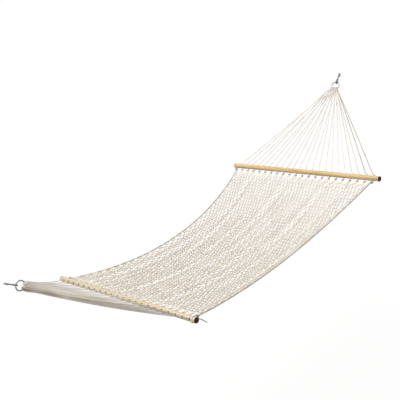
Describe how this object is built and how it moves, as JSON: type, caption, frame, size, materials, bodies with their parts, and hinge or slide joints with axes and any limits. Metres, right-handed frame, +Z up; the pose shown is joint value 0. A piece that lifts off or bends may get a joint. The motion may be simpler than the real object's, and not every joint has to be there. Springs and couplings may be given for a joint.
{
  "type": "rope hammock",
  "caption": "Rope hammock: a knotted rope net slung between two drilled wooden spreader bars, each with a fan of ropes gathered on a steel ring with an S-hook.",
  "frame": {"origin": "centre of the box round the whole hammock as it hangs level and empty, leaving out the loose rope tail", "axes": "+X from the foot end to the head end, +Y to the left of a person lying with the head at +X, +Z up"},
  "size_m": [3.0661, 1.4257, 0.6958],
  "materials": {
    "rope": "twisted off-white cotton rope, matt, slightly hairy",
    "bar_wood": "light golden hardwood, fine straight grain, satin varnish",
    "bar_cap": "near-black brown, satin",
    "ring_steel": "bright zinc plate",
    "hook_steel": "darker dull zinc plate"
  },
  "bodies": {
    "bed": {"net_bed": "rope", "left_edge_rope": "rope", "right_edge_rope": "rope", "foot_rope_tail": "rope"},
    "foot_bar": {"foot_spreader_bar": "bar_wood", "foot_bar_cap_left": "bar_cap", "foot_bar_cap_right": "bar_cap"},
    "foot_fan": {"foot_fan_rope_01": "rope", "foot_fan_rope_02": "rope", "foot_fan_rope_03": "rope", "foot_fan_rope_04": "rope", "foot_fan_rope_05": "rope", "foot_fan_rope_06": "rope", "foot_fan_rope_07": "rope", "foot_fan_rope_08": "rope", "foot_fan_rope_09": "rope", "foot_fan_rope_10": "rope", "foot_fan_rope_11": "rope", "foot_fan_rope_12": "rope", "foot_fan_rope_13": "rope", "foot_fan_rope_14": "rope", "foot_fan_rope_15": "rope", "foot_fan_rope_16": "rope", "foot_fan_rope_17": "rope", "foot_fan_rope_18": "rope", "foot_fan_rope_19": "rope", "foot_fan_rope_20": "rope", "foot_fan_rope_21": "rope", "foot_fan_rope_22": "rope", "foot_rope_eye": "rope"},
    "foot_ring": {"foot_ring": "ring_steel"},
    "foot_hook": {"foot_s_hook": "hook_steel"},
    "head_bar": {"head_spreader_bar": "bar_wood", "head_bar_cap_left": "bar_cap", "head_bar_cap_right": "bar_cap"},
    "head_fan": {"head_fan_rope_01": "rope", "head_fan_rope_02": "rope", "head_fan_rope_03": "rope", "head_fan_rope_04": "rope", "head_fan_rope_05": "rope", "head_fan_rope_06": "rope", "head_fan_rope_07": "rope", "head_fan_rope_08": "rope", "head_fan_rope_09": "rope", "head_fan_rope_10": "rope", "head_fan_rope_11": "rope", "head_fan_rope_12": "rope", "head_fan_rope_13": "rope", "head_fan_rope_14": "rope", "head_fan_rope_15": "rope", "head_fan_rope_16": "rope", "head_fan_rope_17": "rope", "head_fan_rope_18": "rope", "head_fan_rope_19": "rope", "head_fan_rope_20": "rope", "head_fan_rope_21": "rope", "head_fan_rope_22": "rope", "head_rope_eye": "rope"},
    "head_ring": {"head_ring": "ring_steel"},
    "head_hook": {"head_s_hook": "hook_steel"}
  },
  "joints": [
    {"name": "foot_bar_roll", "type": "hinge", "parent": "bed", "child": "foot_bar", "pos_m": [-0.875, 0, -0.1585], "axis": [0, 1, 0], "range_deg": [0, 65]},
    {"name": "foot_fan_fold", "type": "hinge", "parent": "foot_bar", "child": "foot_fan", "pos_m": [-0.875, 0, -0.1585], "axis": [0, 1, 0], "range_deg": [0, 65]},
    {"name": "foot_ring_turn", "type": "hinge", "parent": "foot_fan", "child": "foot_ring", "pos_m": [-1.44774, 0, 0.27781], "axis": [0, 1, 0], "range_deg": [-75, 75]},
    {"name": "foot_hook_swing", "type": "hinge", "parent": "foot_ring", "child": "foot_hook", "pos_m": [-1.46421, 0, 0.29035], "axis": [0, 1, 0], "range_deg": [-60, 60]},
    {"name": "head_bar_roll", "type": "hinge", "parent": "bed", "child": "head_bar", "pos_m": [0.875, 0, -0.1585], "axis": [0, -1, 0], "range_deg": [0, 65]},
    {"name": "head_fan_fold", "type": "hinge", "parent": "head_bar", "child": "head_fan", "pos_m": [0.875, 0, -0.1585], "axis": [0, -1, 0], "range_deg": [0, 65]},
    {"name": "head_ring_turn", "type": "hinge", "parent": "head_fan", "child": "head_ring", "pos_m": [1.44774, 0, 0.27781], "axis": [-0.5694, -0.342, 0.7475], "range_deg": [-75, 75]},
    {"name": "head_hook_swing", "type": "hinge", "parent": "head_ring", "child": "head_hook", "pos_m": [1.46421, 0, 0.29035], "axis": [-0.5694, -0.342, 0.7475], "range_deg": [-60, 60]}
  ]
}
